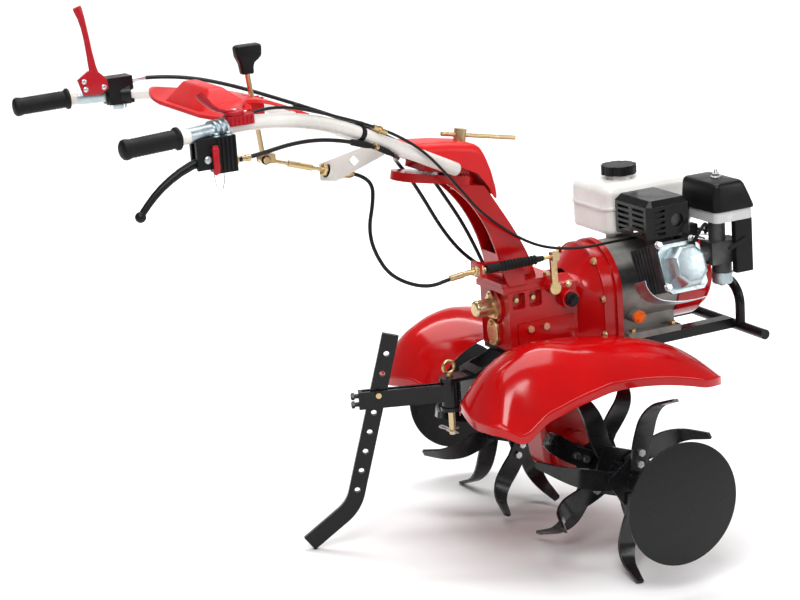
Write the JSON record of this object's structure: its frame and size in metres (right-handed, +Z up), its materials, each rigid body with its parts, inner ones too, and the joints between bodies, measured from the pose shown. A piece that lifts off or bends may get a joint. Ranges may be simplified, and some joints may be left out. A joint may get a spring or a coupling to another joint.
{
  "type": "garden tiller",
  "caption": "Petrol garden tiller with a tined rotor between side discs, gear drive, slanted engine, swivelling handlebar with levers and cables, fenders and a drag stake.",
  "frame": {"origin": "on the ground under the middle of the machine", "axes": "+X forward to the engine, +Y to the left, +Z up"},
  "size_m": [1.4887, 0.95, 1.1453],
  "materials": {
    "red_paint": "gloss enamel",
    "black_paint": "satin enamel",
    "white_paint": "gloss enamel",
    "zinc": "yellow zinc plate",
    "steel": "bright steel",
    "cast_alloy": "as cast",
    "bright_alloy": "polished casting",
    "rubber": "matt",
    "black_plastic": "moulded",
    "red_plastic": "moulded",
    "orange_plastic": "moulded"
  },
  "bodies": {
    "frame": {"gearbox_housing": "red_paint", "pto_cap": "zinc", "oval_cover": "zinc", "final_drive_case": "red_paint", "column": "red_paint", "cable_stay": "zinc", "swivel_base": "red_paint", "fender_left": "red_paint", "fender_right": "red_paint", "front_frame": "black_paint", "hitch_bracket": "black_paint", "hitch_pin": "zinc", "engine_block": "cast_alloy", "valve_cover": "bright_alloy", "muffler": "black_paint", "muffler_guard": "black_paint", "fuel_tank": "white_paint", "air_cleaner_base": "black_plastic", "air_cleaner_cover": "black_plastic", "carburettor": "cast_alloy", "control_box": "black_plastic", "fan_shroud": "red_paint", "frame_bolts": "zinc", "shift_cable": "rubber", "shift_bellows": "rubber", "control_cables": "rubber"},
    "rotor": {"axle_shaft": "steel", "rotor_frames": "black_paint", "tines_left": "black_paint", "tines_right": "black_paint", "tine_bolts": "zinc", "side_discs": "black_paint"},
    "main_shaft": {"main_shaft": "steel"},
    "crankshaft": {"crankshaft": "steel"},
    "handlebar": {"swivel_plate": "red_paint", "head_cap": "red_paint", "handlebar_tubes": "white_paint", "grips": "rubber", "console": "red_paint", "shift_bracket": "white_paint", "lever_perches": "black_paint", "throttle_perch": "red_plastic"},
    "t_handle": {"t_handle": "zinc"},
    "shift_lever": {"shift_lever": "black_plastic"},
    "shift_link": {"shift_link": "zinc"},
    "selector_arm": {"selector_arm": "zinc"},
    "clutch_lever": {"clutch_lever": "black_paint"},
    "clutch_lock": {"clutch_lock": "red_plastic"},
    "clutch_fork": {"clutch_fork": "zinc"},
    "throttle_lever": {"throttle_lever": "red_plastic"},
    "reverse_lever": {"reverse_lever": "red_paint"},
    "drag_bar": {"drag_carrier": "black_paint", "drag_stake": "black_paint", "stake_pin": "zinc"},
    "fuel_cap": {"fuel_cap": "black_plastic"},
    "dipstick": {"dipstick": "orange_plastic"},
    "filler_plug": {"filler_plug": "black_plastic"},
    "wing_nut": {"wing_nut": "zinc"},
    "choke_lever": {"choke_lever": "black_plastic"},
    "starter_grip": {"starter_grip": "black_plastic"}
  },
  "joints": [
    {"name": "rotor_spin", "type": "hinge", "parent": "frame", "child": "rotor", "pos_m": [0.3493, 0, 0.18864], "axis": [0, 1, 0], "continuous": true},
    {"name": "main_shaft_spin", "type": "hinge", "parent": "frame", "child": "main_shaft", "pos_m": [0.32302, 0, 0.52261], "axis": [0.9969, 0, 0.0785], "continuous": true},
    {"name": "crank_spin", "type": "hinge", "parent": "frame", "child": "crankshaft", "pos_m": [0.32302, 0, 0.52261], "axis": [0.9969, 0, 0.0785], "continuous": true},
    {"name": "handlebar_swivel", "type": "hinge", "parent": "frame", "child": "handlebar", "pos_m": [0.08868, 0, 0.79807], "axis": [0.1132, 0, 0.9936], "range_deg": [-20, 20], "deforming": ["control_cables", "shift_cable"]},
    {"name": "t_handle_turn", "type": "hinge", "parent": "frame", "child": "t_handle", "pos_m": [0.08868, 0, 0.79807], "axis": [0.1132, 0, 0.9936], "range_deg": [-180, 180]},
    {"name": "shift_lever_rock", "type": "hinge", "parent": "handlebar", "child": "shift_lever", "pos_m": [-0.35149, 0, 0.93596], "axis": [0, 1, 0], "range_deg": [-12, 12], "deforming": ["shift_cable"]},
    {"name": "shift_link_tilt", "type": "hinge", "parent": "shift_lever", "child": "shift_link", "pos_m": [-0.3374, 0, 0.85883], "axis": [0, 1, 0], "range_deg": [-15, 15]},
    {"name": "selector_arm_turn", "type": "hinge", "parent": "frame", "child": "selector_arm", "pos_m": [0.28031, -0.08, 0.55536], "axis": [0, 1, 0], "range_deg": [-14, 14], "deforming": ["shift_bellows"]},
    {"name": "clutch_lever_squeeze", "type": "hinge", "parent": "handlebar", "child": "clutch_lever", "pos_m": [-0.5768, -0.287, 0.91823], "axis": [0, 1, 0], "range_deg": [0, 32], "stiffness_Nm_per_rad": 1.5, "springref_deg": -17.19},
    {"name": "clutch_lock_flip", "type": "hinge", "parent": "handlebar", "child": "clutch_lock", "pos_m": [-0.56509, -0.305, 0.9352], "axis": [0, -1, 0], "range_deg": [0, 35]},
    {"name": "clutch_fork_turn", "type": "hinge", "parent": "frame", "child": "clutch_fork", "pos_m": [0.30845, 0.07, 0.51645], "axis": [0, 1, 0], "range_deg": [-12, 2], "deforming": ["control_cables"]},
    {"name": "throttle_lever_turn", "type": "hinge", "parent": "handlebar", "child": "throttle_lever", "pos_m": [-0.5082, -0.262, 0.98983], "axis": [-0.0785, 0, 0.9969], "range_deg": [0, 55]},
    {"name": "reverse_lever_fold", "type": "hinge", "parent": "handlebar", "child": "reverse_lever", "pos_m": [-0.57615, 0.244, 0.98649], "axis": [0, -1, 0], "range_deg": [0, 75], "deforming": ["control_cables"]},
    {"name": "drag_bar_swing", "type": "hinge", "parent": "frame", "child": "drag_bar", "pos_m": [0.07954, 0, 0.3279], "axis": [-0.0785, 0, 0.9969], "range_deg": [-8, 52]},
    {"name": "fuel_cap_turn", "type": "hinge", "parent": "frame", "child": "fuel_cap", "pos_m": [0.5187, 0.06, 0.7637], "axis": [-0.0785, 0, 0.9969], "range_deg": [0, 90]},
    {"name": "dipstick_turn", "type": "hinge", "parent": "frame", "child": "dipstick", "pos_m": [0.47603, -0.096, 0.47747], "axis": [0, -1, 0], "range_deg": [0, 180]},
    {"name": "filler_plug_turn", "type": "hinge", "parent": "frame", "child": "filler_plug", "pos_m": [0.3227, -0.076, 0.5266], "axis": [0, -1, 0], "range_deg": [0, 180]},
    {"name": "wing_nut_turn", "type": "hinge", "parent": "frame", "child": "wing_nut", "pos_m": [0.63734, -0.132, 0.77304], "axis": [-0.0785, 0, 0.9969], "range_deg": [0, 180]},
    {"name": "choke_lever_turn", "type": "hinge", "parent": "frame", "child": "choke_lever", "pos_m": [0.67046, -0.196, 0.64525], "axis": [0, 1, 0], "range_deg": [0, 60]},
    {"name": "starter_grip_pull", "type": "slide", "parent": "frame", "child": "starter_grip", "axis": [0.9969, 0, 0.0785], "range_m": [0, 0.5], "stiffness_N_per_m": 30, "springref_m": -0.05}
  ],
  "couplings": [
    {"joint": "main_shaft_spin", "follows": "rotor_spin", "ratio": 10},
    {"joint": "shift_link_tilt", "follows": "shift_lever_rock", "ratio": -1.2},
    {"joint": "selector_arm_turn", "follows": "shift_lever_rock", "ratio": -1.12},
    {"joint": "clutch_fork_turn", "follows": "clutch_lever_squeeze", "ratio": -0.3}
  ]
}
